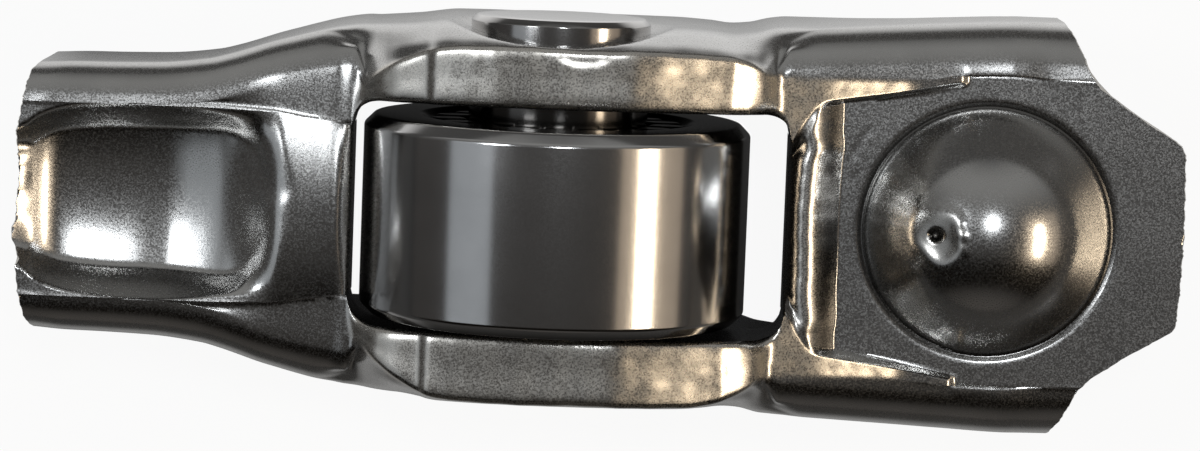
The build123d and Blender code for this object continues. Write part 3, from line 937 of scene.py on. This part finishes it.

# ---------------------------------------------------------------------------
# White table top under the part, a dim studio round it, five soft lights and the camera above.
# The table glows plain white to the camera; mirrored in the steel it glows only in a band beside the part,
# with painted shadow close round the part and painted shade toward the -Y side.

TABLE_REACH = 0.9
TABLE_LEVEL = REST_Z * MM - 0.00005
table = bpy.data.meshes.new("table_top")
table.from_pydata(
    [(x, y, TABLE_LEVEL) for x, y in (
        (-TABLE_REACH, -TABLE_REACH), (TABLE_REACH, -TABLE_REACH),
        (TABLE_REACH, TABLE_REACH), (-TABLE_REACH, TABLE_REACH),
    )],
    [],
    [(0, 1, 2, 3)],
)
floor = bpy.data.objects.new("table_top", table)
bpy.context.scene.collection.objects.link(floor)
white = bpy.data.materials.new("white_table")
white.use_nodes = True
tree = white.node_tree
for node in list(tree.nodes):
    tree.nodes.remove(node)
matt = tree.nodes.new("ShaderNodeBsdfDiffuse")
matt.inputs["Color"].default_value = (0.9, 0.9, 0.9, 1.0)
glow = tree.nodes.new("ShaderNodeEmission")
ray = tree.nodes.new("ShaderNodeLightPath")
spot = tree.nodes.new("ShaderNodeNewGeometry")
split = tree.nodes.new("ShaderNodeSeparateXYZ")
tree.links.new(spot.outputs["Position"], split.inputs["Vector"])

# Shares of the table's own white that are seen directly and mirrored in the steel, and how bright
# the mirrored band is before it is held at plain white
SEEN_WHITE = 0.93
MIRRORED_WHITE = 0.9
BAND_STRENGTH = 1.35

# Distance beyond a box round the part, in metres
from_middle = calculated(tree, "ABSOLUTE", calculated(tree, "SUBTRACT", split.outputs["X"], 0.002))
beyond_x = calculated(tree, "SUBTRACT", from_middle, 0.024)
beyond_y = calculated(tree, "SUBTRACT", calculated(tree, "ABSOLUTE", split.outputs["Y"]), 0.006)
outside = calculated(tree, "MAXIMUM", beyond_x, beyond_y)
# Painted shadow: the mirrored glow fades out close round the part; farther out it fades away again
near = graded(tree, outside, 0.0, 0.010, 0.03, 1.0)
far = graded(tree, outside, 0.008, 0.024, 1.0, 0.02)
# Painted shade: the mirrored glow is dimmer toward the -Y side
painted_side_shade = graded(tree, split.outputs["Y"], -0.008, 0.008, 0.3, 1.0)
lit = calculated(tree, "MULTIPLY", calculated(tree, "MULTIPLY", near, far), painted_side_shade)
lit = calculated(tree, "MINIMUM", calculated(tree, "MULTIPLY", lit, BAND_STRENGTH), 1.0)
mirrored_share = calculated(tree, "MULTIPLY", ray.outputs["Is Glossy Ray"], MIRRORED_WHITE)
seen_share = calculated(tree, "MULTIPLY", ray.outputs["Is Camera Ray"], SEEN_WHITE)
strength = calculated(tree, "MAXIMUM", ray.outputs["Is Camera Ray"], lit)
tree.links.new(strength, glow.inputs["Strength"])
top_coat = tree.nodes.new("ShaderNodeMixShader")
tree.links.new(calculated(tree, "MAXIMUM", seen_share, mirrored_share), top_coat.inputs["Fac"])
tree.links.new(matt.outputs["BSDF"], top_coat.inputs[1])
tree.links.new(glow.outputs["Emission"], top_coat.inputs[2])
table_output = tree.nodes.new("ShaderNodeOutputMaterial")
tree.links.new(top_coat.outputs["Shader"], table_output.inputs["Surface"])
table.materials.append(white)

# Dim studio all round, graded from the -Y side to the +Y side
world = bpy.data.worlds.new("studio")
bpy.context.scene.world = world
world.use_nodes = True
tree = world.node_tree
background = tree.nodes["Background"]
background.inputs["Strength"].default_value = 1.0
direction = tree.nodes.new("ShaderNodeTexCoord")
sky_split = tree.nodes.new("ShaderNodeSeparateXYZ")
tree.links.new(direction.outputs["Generated"], sky_split.inputs["Vector"])
room = tree.nodes.new("ShaderNodeValToRGB")
tree.links.new(graded(tree, sky_split.outputs["Y"], -1.0, 1.0, 0.0, 1.0), room.inputs["Fac"])
tree.links.new(room.outputs["Color"], background.inputs["Color"])
ramp = room.color_ramp
ramp.elements[0].position, ramp.elements[0].color = 0.0, (0.10, 0.092, 0.085, 1.0)
ramp.elements[1].position, ramp.elements[1].color = 1.0, (0.16, 0.16, 0.16, 1.0)
for position, colour in (
    (0.05, (0.06, 0.056, 0.052, 1.0)),
    (0.10, (0.004, 0.003, 0.002, 1.0)),
    (0.25, (0.004, 0.003, 0.002, 1.0)),
    (0.34, (0.045, 0.042, 0.039, 1.0)),
    (0.46, (0.062, 0.059, 0.057, 1.0)),
    (0.7, (0.13, 0.128, 0.125, 1.0)),
    (0.86, (0.29, 0.29, 0.285, 1.0)),
    (0.94, (0.32, 0.32, 0.315, 1.0)),
    (0.985, (0.26, 0.26, 0.255, 1.0)),
):
    ramp.elements.new(position).color = colour

LAMP_DISTANCE = 0.45


def aimed(right, up, back, place_at):
    """Matrix of a lamp or camera at place_at that looks against back, with the given right and up."""
    return Matrix([(right[i], up[i], back[i], place_at[i]) for i in range(3)] + [(0, 0, 0, 1)])


def softbox(name, colour, radiance, size, lean_x, lean_y):
    """Rectangular studio light aimed at the part, leaning from straight above by the given angles."""
    light = bpy.data.lights.new(name, "AREA")
    light.shape = "RECTANGLE"
    light.size, light.size_y = size
    light.energy = radiance * math.pi * size[0] * size[1]
    light.color = colour
    lamp = bpy.data.objects.new(name, light)
    bpy.context.scene.collection.objects.link(lamp)
    toward = Vector((math.tan(math.radians(lean_x)), math.tan(math.radians(lean_y)), 1.0)).normalized()
    side = Vector((0, 1, 0)).cross(toward).normalized()
    lamp.matrix_world = aimed(side, toward.cross(side), toward, toward * LAMP_DISTANCE)


softbox("cool_softbox", (0.86, 0.93, 1.0), 0.4, (0.22, 0.36), -50, -2)
softbox("cool_key", (0.92, 0.96, 1.0), 10.0, (0.10, 0.13), -36, 16)
softbox("front_lamp", (0.92, 0.96, 1.0), 30.0, (0.06, 0.06), 4, 15)
softbox("warm_strip", (1.0, 0.82, 0.60), 12.0, (0.07, 0.22), 56, -6)
softbox("warm_glow", (1.0, 0.80, 0.60), 0.4, (0.34, 0.36), 60, -4)

# Long lens 200 mm above the part, tilted toward its +Y side and rolled a little
SENSOR_WIDTH = 36.0
EYE_DISTANCE = 200.0
TILT = math.radians(6.3)
ROLL = math.radians(2.2)
AIM_X = 2.15
camera_data = bpy.data.cameras.new("camera")
camera_data.sensor_width = SENSOR_WIDTH
camera_data.lens = 4280.0 / 1200.0 * SENSOR_WIDTH
camera_data.clip_start = 0.01
camera = bpy.data.objects.new("camera", camera_data)
bpy.context.scene.collection.objects.link(camera)
bpy.context.scene.camera = camera
eye = Vector((AIM_X, EYE_DISTANCE * math.sin(TILT), EYE_DISTANCE * math.cos(TILT))) * MM
aim = Vector((AIM_X, -0.55, 0.0)) * MM
forward = (aim - eye).normalized()
right = forward.cross(Vector((0, 1, 0))).normalized()
up = right.cross(forward)
right_rolled = right * math.cos(ROLL) + up * math.sin(ROLL)
up_rolled = up * math.cos(ROLL) - right * math.sin(ROLL)
camera.matrix_world = aimed(right_rolled, up_rolled, -forward, eye)
bpy.context.scene.view_settings.view_transform = "Standard"
